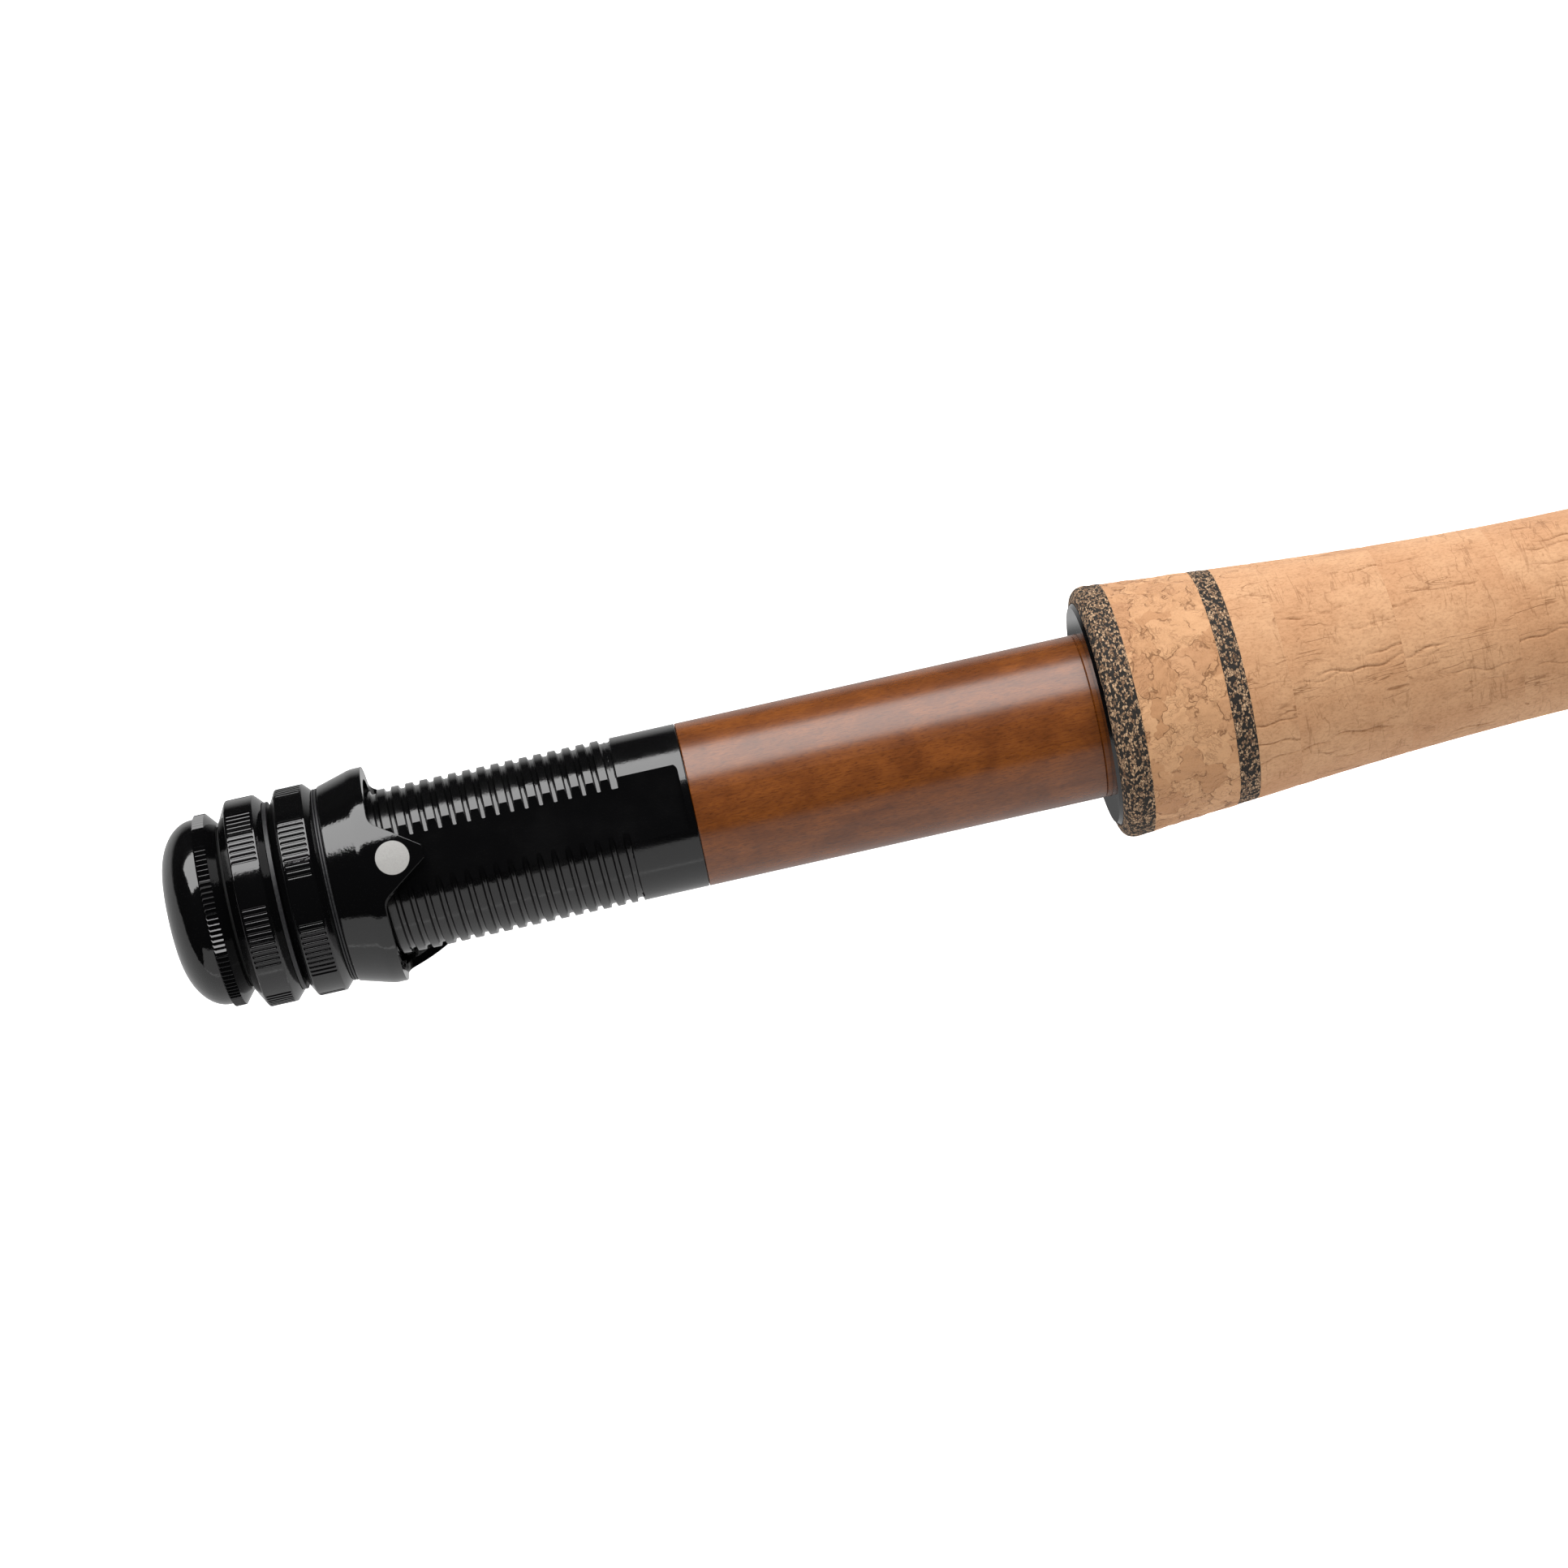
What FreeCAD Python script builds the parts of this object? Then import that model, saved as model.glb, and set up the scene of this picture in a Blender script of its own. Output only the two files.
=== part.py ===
"""Butt section of a four-piece fly rod: reel seat, cork grip, blank, stripping guide and spigot ferrule.

Millimetres. The rod's axis is +X, from the flat end of the butt cap to the ferrule. The reel and the
line guide hang on the -Z side, and the milled key flat of the reel seat faces +Z.
"""

import FreeCAD
import Part
import math
import os

V = FreeCAD.Vector
ORIGIN = V(0, 0, 0)
X_AXIS = V(1, 0, 0)

# Reel seat: one outside radius for the thread crest, the barrel collar and the wood.
SEAT_R = 9.1
THREAD_ROOT_R = 8.69
PITCH = 1.5875
BARREL_START = 7.3
THREAD_END = 50.8
BARREL_END = 58.0
KEY_FLAT_Z = 8.33
BARREL_BORE_R = 7.0
BARREL_SPIGOT_R = 7.9
BARREL_SPIGOT_END = 66.0
WOOD_BORE_R = 6.4
WOOD_END = 113.8
RUN_GAP = 0.1
GLUE_GAP = 0.05

# Butt cap and its spigot.
CAP_R = 10.3
KNURL_R = 10.67
KNURL_TEETH = 108
CAP_LENGTH = 7.0
CAP_THREAD_R = 7.8
CAP_SPIGOT_END = 11.4

# Lock rings.
RING_R = 11.52
RING_LENGTH = 4.95
RING_PANELS = 6
GROOVES_PER_PANEL = 11
GROOVE_STEP = 3.35
GROOVE_R = 0.23
REAR_RING_X = 7.35
FRONT_RING_X = 12.85
REAR_RING_TURN = -33.0
FRONT_RING_TURN = -18.0

# Hoods.
HOOD_START = 18.45
HOOD_R = 11.95
HOOD_WALL = 1.4
HOOD_RIM = 23.6
TONGUE_TIP = 28.8
CANOPY_TIP = 32.6
FOOT_POCKET_R = 11.2
FOOT_POCKET_HALF_ANGLE = 62.0
FLANGE_START = 103.2
FLANGE_END = 104.3
FLANGE_R = 12.46
SLEEVE_R = 10.6
SLEEVE_END = 114.6
POCKET_R = 11.75
POCKET_END = 113.0
POCKET_WALL = 0.65
POCKET_HALF_ANGLE = 40.0

# Cork grip.
CORK_START = 103.55
REAR_TRIM_END = 106.8
COMPOSITE_END = 116.5
FRONT_TRIM_END = 118.8
FIRST_RING_END = 123.5
CORK_RING = 12.7
GRIP_END = 281.0

# Blank, ferrule and fittings.
BLANK_START = 12.0
BLANK_END = 660.0
BLANK_R_REAR = 5.0
BLANK_R_FRONT = 3.75
BLANK_WALL = 0.9
SPIGOT_START = 615.0
SPIGOT_R = 2.8
SPIGOT_REACH = 38.0
KEEPER_X = 299.0
KEEPER_WIRE_R = 0.45
GUIDE_X = 600.0
GUIDE_Z = -16.0
GUIDE_RING_R = 4.6
GUIDE_BAND_R = 6.2
WRAP_THICK = 0.3


def blank_radius(x):
    share = (x - BLANK_START) / (BLANK_END - BLANK_START)
    return BLANK_R_REAR + share * (BLANK_R_FRONT - BLANK_R_REAR)


def rounded_wire(corners, place):
    """A closed wire through corners (a, b) or (a, b, fillet); place turns (a, b) into a vector."""
    spans = []
    count = len(corners)
    for i, corner in enumerate(corners):
        here = V(corner[0], corner[1], 0)
        fillet = corner[2] if len(corner) > 2 else 0
        if not fillet:
            spans.append((here, None, here))
            continue
        to_last = (V(*corners[i - 1][:2], 0) - here).normalize()
        to_next = (V(*corners[(i + 1) % count][:2], 0) - here).normalize()
        half = to_last.getAngle(to_next) / 2
        reach = fillet / math.tan(half)
        middle = (to_last + to_next).normalize() * (fillet / math.sin(half) - fillet)
        spans.append((here + to_last * reach, here + middle, here + to_next * reach))
    edges = []
    for i, (start, middle, end) in enumerate(spans):
        if middle is not None:
            edges.append(Part.Arc(place(start), place(middle), place(end)).toShape())
        following = spans[(i + 1) % count][0]
        if end.distanceToPoint(following) > 1e-6:
            edges.append(Part.LineSegment(place(end), place(following)).toShape())
    return Part.Wire(edges)


def turned(corners):
    """A solid of revolution about the rod's axis; corners are (x, radius) or (x, radius, fillet)."""
    wire = rounded_wire(corners, lambda p: V(p.x, 0, p.y))
    return Part.Face(wire).revolve(ORIGIN, X_AXIS, 360)


def plan_prism(corners, z_low, z_high):
    """An outline in the XY plane, drawn up from z_low to z_high."""
    wire = rounded_wire(corners, lambda p: V(p.x, p.y, z_low))
    return Part.Face(wire).extrude(V(0, 0, z_high - z_low))


def side_prism(corners):
    """An outline in the XZ plane, drawn right through the seat from -Y to +Y."""
    reach = 2 * HOOD_R
    wire = rounded_wire(corners, lambda p: V(p.x, -reach, p.y))
    return Part.Face(wire).extrude(V(0, 2 * reach, 0))


def cylinder(x_start, x_end, radius):
    return Part.makeCylinder(radius, x_end - x_start, V(x_start, 0, 0), X_AXIS)


def cone(x_start, x_end, r_start, r_end):
    return Part.makeCone(r_start, r_end, x_end - x_start, V(x_start, 0, 0), X_AXIS)


def blank_cone(x_start, x_end, extra):
    return cone(x_start, x_end, blank_radius(x_start) + extra, blank_radius(x_end) + extra)


def lower_sector(x_start, x_end, radius, half_angle):
    """The slice of a cylinder within half_angle degrees of the -Z direction."""
    slice_ = Part.makeCylinder(radius, x_end - x_start, V(x_start, 0, 0), X_AXIS, 2 * half_angle)
    middle = slice_.CenterOfMass
    turn = -90 - math.degrees(math.atan2(middle.z, middle.y))
    return slice_.rotate(ORIGIN, X_AXIS, turn)


def keyed_bore(x_start, x_end, radius, key_z):
    """A round bore with a flat on its +Z side, which rides on the barrel's key flat."""
    flat = Part.makeBox(x_end - x_start, 4 * radius, radius, V(x_start, -2 * radius, key_z))
    return cylinder(x_start, x_end, radius).cut(flat)


def bar(start, end, radius):
    direction = end - start
    rod = Part.makeCylinder(radius, direction.Length, start, direction)
    return rod.fuse(Part.makeSphere(radius, start)).fuse(Part.makeSphere(radius, end))


# ---- Butt cap ----

def butt_cap():
    face_r, dome = 3.9, 4.3
    centre = V(dome, 0, face_r)
    oval = Part.Ellipse(centre + V(0, 0, CAP_R - face_r), centre - V(dome, 0, 0), centre)
    corners = [V(dome, 0, CAP_R), V(CAP_LENGTH, 0, CAP_R), V(CAP_LENGTH, 0, 0), V(0, 0, 0), V(0, 0, face_r)]
    edges = [Part.LineSegment(a, b).toShape() for a, b in zip(corners, corners[1:])]
    edges.append(Part.ArcOfEllipse(oval, 0, math.pi / 2).toShape())
    body = Part.Face(Part.Wire(Part.__sortEdges__(edges))).revolve(ORIGIN, X_AXIS, 360)
    lip = turned([(5.9, KNURL_R), (8, KNURL_R), (8, 8), (CAP_LENGTH, 9.35)])
    band = turned([(4.55, 9), (4.55, CAP_R), (4.75, KNURL_R), (5.9, KNURL_R), (CAP_LENGTH, 9.35),
                   (CAP_LENGTH, 9)])
    body = body.fuse(band).cut(lip)
    teeth = []
    for i in range(2 * KNURL_TEETH):
        turn = math.pi * i / KNURL_TEETH
        radius = KNURL_R + 0.02 if i % 2 else KNURL_R - 0.27
        teeth.append(V(4.6, radius * math.sin(turn), radius * math.cos(turn)))
    star = Part.Face(Part.makePolygon(teeth + teeth[:1])).extrude(V(1.35, 0, 0))
    valleys = cylinder(4.6, 5.95, KNURL_R + 1).cut(star)
    bore = turned([(2.4, 0), (2.4, CAP_THREAD_R - 0.5, 0.4), (3.2, CAP_THREAD_R + RUN_GAP),
                   (8, CAP_THREAD_R + RUN_GAP), (8, 0)])
    return body.cut(valleys).cut(bore)


def cap_spigot():
    return turned([(2.8, 0), (2.8, CAP_THREAD_R - 0.6), (3.4, CAP_THREAD_R), (BARREL_START, CAP_THREAD_R),
                   (BARREL_START, BARREL_BORE_R - GLUE_GAP), (CAP_SPIGOT_END, BARREL_BORE_R - GLUE_GAP),
                   (CAP_SPIGOT_END, 0)])


def cap_washer():
    inner = CAP_THREAD_R + RUN_GAP
    return turned([(7.03, inner), (7.03, 8.9), (7.27, 8.9), (7.27, inner)])


# ---- Lock rings ----

def lock_ring(x_start, panel_turn):
    """A turned ring with six panels of round-ended axial grooves."""
    land_start, land_end = x_start + 1.05, x_start + 4.1
    x_end = x_start + RING_LENGTH
    ring = turned([(x_start, SEAT_R + RUN_GAP), (x_start, 9.6), (land_start, RING_R, 0.25),
                   (land_end, RING_R, 0.25), (x_end, 10.6), (x_end, SEAT_R + RUN_GAP)])
    first, last = land_start + 0.1 + GROOVE_R, land_end - 0.1 - GROOVE_R
    groove = bar(V(first, 0, RING_R + 0.03), V(last, 0, RING_R + 0.03), GROOVE_R)
    cutters = []
    for panel in range(RING_PANELS):
        for step in range(GROOVES_PER_PANEL):
            offset = (step - (GROOVES_PER_PANEL - 1) / 2) * GROOVE_STEP
            copy = groove.copy()
            copy.rotate(ORIGIN, X_AXIS, panel_turn + panel * 360 / RING_PANELS + offset)
            cutters.append(copy)
    return ring.cut(Part.makeCompound(cutters))


def rear_lock_washer():
    disc = cylinder(12.36, 12.79, 10.45)
    return disc.cut(keyed_bore(12, 13, SEAT_R + RUN_GAP, KEY_FLAT_Z + RUN_GAP))


def hood_washer():
    disc = turned([(17.85, 0), (17.85, 10.7, 0.1), (18.05, 10.7, 0.1), (18.1, 10.5), (18.15, 10.7, 0.1),
                   (18.4, 10.7, 0.1), (18.4, 0)])
    return disc.cut(keyed_bore(17, 19, SEAT_R + RUN_GAP, KEY_FLAT_Z + RUN_GAP))


# ---- Hoods and barrel ----

def tongue_trim():
    """What is milled away round the pointed tongue above the barrel."""
    far, wide = TONGUE_TIP + 5, HOOD_R + 3
    tip_half, root_half = 0.72, 4.38
    return plan_prism([(HOOD_RIM, wide), (HOOD_RIM, root_half, 1.5), (TONGUE_TIP, tip_half),
                       (TONGUE_TIP, -tip_half), (HOOD_RIM, -root_half, 1.5), (HOOD_RIM, -wide),
                       (far, -wide), (far, wide)], 0, 20)


def canopy_trim():
    """What is milled away to leave the canopy: a slanted cut from the side, and a rounded nose."""
    far, root_z, nose_z = CANOPY_TIP + 5, -5.9, -11.2
    slant = side_prism([(HOOD_RIM, 0.1), (HOOD_RIM, root_z, 1.5), (CANOPY_TIP, nose_z), (far, nose_z),
                        (far, 0.1)])
    nose_half, flank_x, flank_half = 2.6, CANOPY_TIP - 4, 8.6
    nose = plan_prism([(flank_x, flank_half), (CANOPY_TIP, nose_half, 2.4), (CANOPY_TIP, -nose_half, 2.4),
                       (flank_x, -flank_half), (far, -flank_half), (far, flank_half)], -20, 0)
    return slant.fuse(nose)


def sliding_hood():
    """Keyed cap that slides on the barrel: a pointed tongue above, a wide canopy over the reel foot below."""
    inner = HOOD_R - HOOD_WALL
    shell = turned([(HOOD_START, 0), (HOOD_START, 10.85, 0.2), (22.3, HOOD_R, 3), (CANOPY_TIP, HOOD_R),
                    (CANOPY_TIP, 0)])
    mouth = turned([(20.4, 0), (20.4, SEAT_R + RUN_GAP), (23.2, inner, 1.5), (CANOPY_TIP + 1, inner),
                    (CANOPY_TIP + 1, 0)])
    foot_pocket = lower_sector(21.9, CANOPY_TIP + 1, FOOT_POCKET_R, FOOT_POCKET_HALF_ANGLE)
    bore = keyed_bore(HOOD_START - 1, 21, SEAT_R + 1.5 * RUN_GAP, KEY_FLAT_Z + RUN_GAP)
    return shell.cut(bore).cut(mouth).cut(foot_pocket).cut(tongue_trim()).cut(canopy_trim())


def thread_groove():
    """The helical groove of a right-hand thread, flat on its crests and round at its root."""
    first_crest = 25.15
    start = first_crest + PITCH / 4 - 12 * PITCH
    length = THREAD_END - 0.3 - start
    out, top_half, root_half = SEAT_R + 0.5, 0.56, 0.24
    corners = [(out, -top_half), (THREAD_ROOT_R, -root_half, 0.18), (THREAD_ROOT_R, root_half, 0.18),
               (out, top_half)]
    section = rounded_wire(corners, lambda p: V(p.x, 0, p.y))
    path = Part.Wire(Part.makeLongHelix(PITCH, length, THREAD_ROOT_R, 0, False).Edges)
    groove = path.makePipeShell([section], True, True)
    groove.rotate(ORIGIN, V(0, 1, 0), 90)
    groove.translate(V(start, 0, 0))
    return groove


def threaded_barrel():
    body = turned([(BARREL_START, BARREL_BORE_R), (BARREL_START, 8.8), (BARREL_START + 0.3, SEAT_R),
                   (BARREL_END, SEAT_R, 0.12), (BARREL_END, BARREL_SPIGOT_R),
                   (BARREL_SPIGOT_END, BARREL_SPIGOT_R, 0.3), (BARREL_SPIGOT_END, BARREL_BORE_R)])
    relief = turned([(THREAD_END - 0.75, THREAD_ROOT_R, 0.2), (THREAD_END - 0.1, THREAD_ROOT_R, 0.2),
                     (THREAD_END, SEAT_R + 1), (THREAD_END - 0.85, SEAT_R + 1)])
    half, end = 3.9, BARREL_END - 0.75
    key_flat = plan_prism([(5, -half), (end, -half, 1.0), (end, half, 1.0), (5, half)], KEY_FLAT_Z, 20)
    return body.cut(thread_groove()).cut(relief).cut(key_flat)


def wood_insert():
    """Turned hardwood sleeve, with a fine scribed line just behind the fixed hood."""
    line = FLANGE_START - 0.55
    step = BARREL_SPIGOT_END + 0.3
    return turned([(BARREL_END + GLUE_GAP, BARREL_SPIGOT_R + GLUE_GAP), (BARREL_END + GLUE_GAP, SEAT_R, 0.12),
                   (line - 0.09, SEAT_R), (line, SEAT_R - 0.14), (line + 0.09, SEAT_R), (WOOD_END, SEAT_R),
                   (WOOD_END, WOOD_BORE_R), (step, WOOD_BORE_R), (step, BARREL_SPIGOT_R + GLUE_GAP)])


def fixed_hood_outside(gap):
    flange = turned([(FLANGE_START - gap, 0), (FLANGE_START - gap, 12.1 + gap),
                     (FLANGE_START + 0.35, FLANGE_R + gap), (FLANGE_END + gap, FLANGE_R + gap),
                     (FLANGE_END + gap, 0)])
    sleeve = cylinder(FLANGE_START, SLEEVE_END + gap, SLEEVE_R + gap)
    spread = math.degrees((POCKET_WALL + gap) / POCKET_R)
    bulge = lower_sector(FLANGE_START + 0.5, POCKET_END + POCKET_WALL + gap, POCKET_R + POCKET_WALL + gap,
                         POCKET_HALF_ANGLE + spread)
    return flange.fuse(sleeve).fuse(bulge)


def fixed_hood():
    """Flanged sleeve over the wood's front end, with the pocket for the reel foot on the -Z side."""
    bore = cylinder(FLANGE_START - 1, SLEEVE_END + 1, SEAT_R + GLUE_GAP)
    pocket = lower_sector(FLANGE_START - 1, POCKET_END, POCKET_R, POCKET_HALF_ANGLE)
    return fixed_hood_outside(0).cut(bore).cut(pocket)


def arbor(x_start, x_end, outer):
    """A bushing that centres the blank in the reel seat."""
    return cylinder(x_start, x_end, outer - GLUE_GAP).cut(blank_cone(x_start - 1, x_end + 1, GLUE_GAP))


# ---- Cork grip ----

def grip_outside():
    """Reverse half-wells grip: a flared rear, a waist for the fingers, a swell, and a long front taper."""
    stations = [(105.2, 14.1), (116.3, 13.16), (130.5, 12.01), (144.6, 11.19), (158, 10.82), (180, 11.35),
                (205, 12.2), (232, 11.4), (260, 8.5), (GRIP_END, 6.3)]
    profile = Part.BSplineCurve()
    profile.interpolate([V(x, 0, r) for x, r in stations])
    x_first, r_first = stations[0]
    edge = 1.45
    rim = V(CORK_START, 0, r_first - edge - 0.05)
    bend = V(CORK_START + 0.4, 0, r_first - 0.4)
    edges = [Part.LineSegment(V(GRIP_END, 0, 6.3), V(GRIP_END, 0, 0)).toShape(),
             Part.LineSegment(V(GRIP_END, 0, 0), V(CORK_START, 0, 0)).toShape(),
             Part.LineSegment(V(CORK_START, 0, 0), rim).toShape(),
             Part.Arc(rim, bend, V(x_first, 0, r_first)).toShape(),
             profile.toShape()]
    return Part.Face(Part.Wire(edges)).revolve(ORIGIN, X_AXIS, 360)


def cork_pieces():
    grip = grip_outside()
    grip = grip.cut(fixed_hood_outside(GLUE_GAP)).cut(blank_cone(CORK_START - 1, GRIP_END + 1, GLUE_GAP))
    bounds = [("rear_trim_ring", CORK_START, REAR_TRIM_END), ("composite_ring", REAR_TRIM_END, COMPOSITE_END),
              ("front_trim_ring", COMPOSITE_END, FRONT_TRIM_END),
              ("cork_ring_01", FRONT_TRIM_END, FIRST_RING_END)]
    start, number = FIRST_RING_END, 2
    while start < GRIP_END - 0.1:
        end = min(start + CORK_RING, GRIP_END)
        bounds.append(("cork_ring_%02d" % number, start, end))
        start, number = end, number + 1
    return {name: grip.common(cylinder(start, end, 20)) for name, start, end in bounds}


# ---- Blank, ferrule and fittings ----

def winding_check():
    inner = blank_radius(GRIP_END) + GLUE_GAP
    return turned([(GRIP_END + 0.02, inner), (GRIP_END + 0.02, 6.35), (GRIP_END + 0.9, 6.35, 0.3),
                   (GRIP_END + 1.3, 5.7, 0.3), (GRIP_END + 3.0, inner + 0.35, 0.15), (GRIP_END + 3.0, inner)])


def blank():
    outside = blank_cone(BLANK_START, BLANK_END, 0)
    return outside.cut(blank_cone(BLANK_START - 1, BLANK_END + 1, -BLANK_WALL))


def ferrule_spigot():
    wall = BLANK_WALL + GLUE_GAP
    buried = cone(SPIGOT_START, BLANK_END, blank_radius(SPIGOT_START) - wall, blank_radius(BLANK_END) - wall)
    end = BLANK_END + SPIGOT_REACH
    return buried.fuse(turned([(BLANK_END, 0), (BLANK_END, SPIGOT_R), (end, SPIGOT_R, 0.8), (end, 0)]))


def wrap(x_start, x_end, thick):
    """A varnished thread wrap: a thin sleeve with sloped ends."""
    slope = 3 * thick
    r_start, r_end = blank_radius(x_start), blank_radius(x_end)
    sleeve = turned([(x_start, 0), (x_start, r_start + 0.04), (x_start + slope, r_start + thick, 0.3),
                     (x_end - slope, r_end + thick, 0.3), (x_end, r_end + 0.04), (x_end, 0)])
    return sleeve.cut(blank_cone(x_start - 1, x_end + 1, 0))


def foot(x_root, x_tip, width, thick):
    """A guide foot: a tapering tongue that lies along the underside of the blank."""
    root_z, tip_z = -blank_radius(x_root), -blank_radius(x_tip)
    side = [V(x_root, 0, root_z + 1), V(x_root, 0, root_z - thick), V(x_tip, 0, tip_z - 0.18),
            V(x_tip, 0, tip_z + 1)]
    slab = Part.Face(Part.makePolygon(side + side[:1])).extrude(V(0, width, 0))
    slab.translate(V(0, -width / 2, 0))
    low, high = min(x_root, x_tip), max(x_root, x_tip)
    return slab.cut(blank_cone(low - 1, high + 1, 0.02))


def foot_wrap(x_start, x_end, feet, width):
    """A wrap that also bridges over the feet beneath it."""
    cover = wrap(x_start, x_end, WRAP_THICK)
    low, high = x_start + 1.2, x_end - 1.2
    drop = blank_radius(low) + 0.45
    hump = Part.makeBox(high - low, width + 0.7, drop, V(low, -(width + 0.7) / 2, -drop - 0.25))
    hump = hump.makeFillet(0.4, [e for e in hump.Edges if e.BoundBox.ZMax < -drop])
    cover = cover.fuse(hump).cut(blank_cone(x_start - 1, x_end + 1, 0))
    return cover.cut(feet)


def keeper_feet():
    return [foot(KEEPER_X + side * 4.6, KEEPER_X + side * 10.0, 1.1, 0.55) for side in (-1, 1)]


def hook_keeper():
    """A bent wire loop on the underside, with a foot along the blank at each end."""
    top = -blank_radius(KEEPER_X) - 0.35
    low = top - 5.4
    bends = [V(KEEPER_X - 4.8, 0, top), V(KEEPER_X - 3.4, 0, low), V(KEEPER_X + 3.4, 0, low),
             V(KEEPER_X + 4.8, 0, top)]
    loop = keeper_feet()[0].fuse(keeper_feet()[1])
    for start, end in zip(bends, bends[1:]):
        loop = loop.fuse(bar(start, end, KEEPER_WIRE_R))
    return loop.cut(blank_cone(KEEPER_X - 12, KEEPER_X + 12, 0.02)).removeSplitter()


def guide_feet():
    return [foot(GUIDE_X + side * 15.5, GUIDE_X + side * 26.5, 2.2, 0.75) for side in (-1, 1)]


def guide_frame():
    """Two-footed stripping guide frame: a round band on four splayed legs."""
    centre = V(GUIDE_X - 0.9, 0, GUIDE_Z)
    band = Part.makeCylinder(GUIDE_BAND_R, 1.8, centre, X_AXIS)
    band = band.makeFillet(0.35, band.Edges[:1] + band.Edges[2:])
    frame = band.cut(Part.makeCylinder(GUIDE_RING_R + 0.9, 4, centre - V(1, 0, 0), X_AXIS))
    for side in (-1, 1):
        root = V(GUIDE_X + side * 16.0, 0, -blank_radius(GUIDE_X) - 0.62)
        for flank in (-1, 1):
            shoulder = V(GUIDE_X + side * 0.35, flank * 5.3, GUIDE_Z + 2.0)
            frame = frame.fuse(bar(root + V(0, flank * 0.55, 0), shoulder, 0.5))
    for piece in guide_feet():
        frame = frame.fuse(piece)
    hole = Part.makeCylinder(GUIDE_RING_R + 0.9, 8, centre - V(3, 0, 0), X_AXIS)
    return frame.cut(hole).cut(blank_cone(GUIDE_X - 30, GUIDE_X + 30, 0.02))


def guide_ring():
    """The hard ceramic ring that the line runs through."""
    outer, inner = GUIDE_RING_R + 0.87, GUIDE_RING_R
    ring = turned([(-0.95, inner, 0.45), (0.95, inner, 0.45), (0.95, outer, 0.1), (-0.95, outer, 0.1)])
    ring.translate(V(GUIDE_X, 0, GUIDE_Z))
    return ring


def build():
    nodes = {
        "butt_cap": butt_cap(),
        "cap_washer": cap_washer(),
        "cap_spigot": cap_spigot(),
        "rear_lock_ring": lock_ring(REAR_RING_X, REAR_RING_TURN),
        "rear_lock_washer": rear_lock_washer(),
        "front_lock_ring": lock_ring(FRONT_RING_X, FRONT_RING_TURN),
        "hood_washer": hood_washer(),
        "sliding_hood": sliding_hood(),
        "threaded_barrel": threaded_barrel(),
        "wood_insert": wood_insert(),
        "fixed_hood": fixed_hood(),
        "rear_arbor": arbor(14, 44, BARREL_BORE_R),
        "front_arbor": arbor(70, 98, WOOD_BORE_R),
        "winding_check": winding_check(),
        "blank": blank(),
        "hook_keeper": hook_keeper(),
        "guide_frame": guide_frame(),
        "guide_ring": guide_ring(),
        "ferrule_wrap": wrap(641, 659.6, WRAP_THICK),
        "ferrule_trim_band": wrap(637.8, 640.6, 0.22),
        "ferrule_spigot": ferrule_spigot(),
    }
    nodes.update(cork_pieces())
    for name, feet, x_rear, x_front, width in (
            ("keeper_wrap", keeper_feet(), KEEPER_X - 10.8, KEEPER_X - 5.6, 1.1),
            ("guide_wrap", guide_feet(), GUIDE_X - 29.5, GUIDE_X - 17.2, 2.2)):
        centre = KEEPER_X if name == "keeper_wrap" else GUIDE_X
        nodes[name + "_rear"] = foot_wrap(x_rear, x_front, feet[0], width)
        nodes[name + "_front"] = foot_wrap(2 * centre - x_front, 2 * centre - x_rear, feet[1], width)
    return nodes


def main():
    os.makedirs("parts", exist_ok=True)
    for name, shape in build().items():
        print("%-20s solids %d  volume %.2f mm3  valid %s"
              % (name, len(shape.Solids), shape.Volume, shape.isValid()))
        shape.exportStep("parts/%s.step" % name)


main()
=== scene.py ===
import math
import bpy
import numpy as np
from mathutils import Matrix, Vector


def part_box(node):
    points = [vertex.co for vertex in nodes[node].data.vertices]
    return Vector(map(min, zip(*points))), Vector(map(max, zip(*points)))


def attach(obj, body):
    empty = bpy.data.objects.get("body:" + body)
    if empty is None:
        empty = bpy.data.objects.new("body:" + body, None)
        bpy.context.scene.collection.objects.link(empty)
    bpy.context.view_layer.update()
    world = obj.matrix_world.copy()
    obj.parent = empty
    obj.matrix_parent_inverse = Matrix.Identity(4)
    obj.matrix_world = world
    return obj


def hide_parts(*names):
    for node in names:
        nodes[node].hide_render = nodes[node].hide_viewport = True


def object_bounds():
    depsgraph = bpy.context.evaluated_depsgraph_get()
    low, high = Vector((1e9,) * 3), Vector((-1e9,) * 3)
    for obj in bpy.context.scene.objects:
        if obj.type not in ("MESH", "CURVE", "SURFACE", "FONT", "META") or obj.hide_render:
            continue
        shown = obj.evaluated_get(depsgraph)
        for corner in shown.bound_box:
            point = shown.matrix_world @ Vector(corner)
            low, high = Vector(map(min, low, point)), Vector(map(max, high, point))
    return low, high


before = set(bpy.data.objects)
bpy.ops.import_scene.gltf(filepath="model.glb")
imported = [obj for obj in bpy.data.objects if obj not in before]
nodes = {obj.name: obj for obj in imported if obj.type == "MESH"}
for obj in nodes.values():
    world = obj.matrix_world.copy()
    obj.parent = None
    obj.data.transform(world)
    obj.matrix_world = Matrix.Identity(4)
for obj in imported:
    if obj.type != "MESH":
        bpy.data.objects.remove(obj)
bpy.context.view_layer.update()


# ---- Blank ----
# A tapered tube rolled from carbon cloth and sanded, then dipped in a dark, faintly translucent varnish.
# Under the varnish the cloth shows as a fine diagonal shimmer. The spigot is bare ground carbon.

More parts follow.
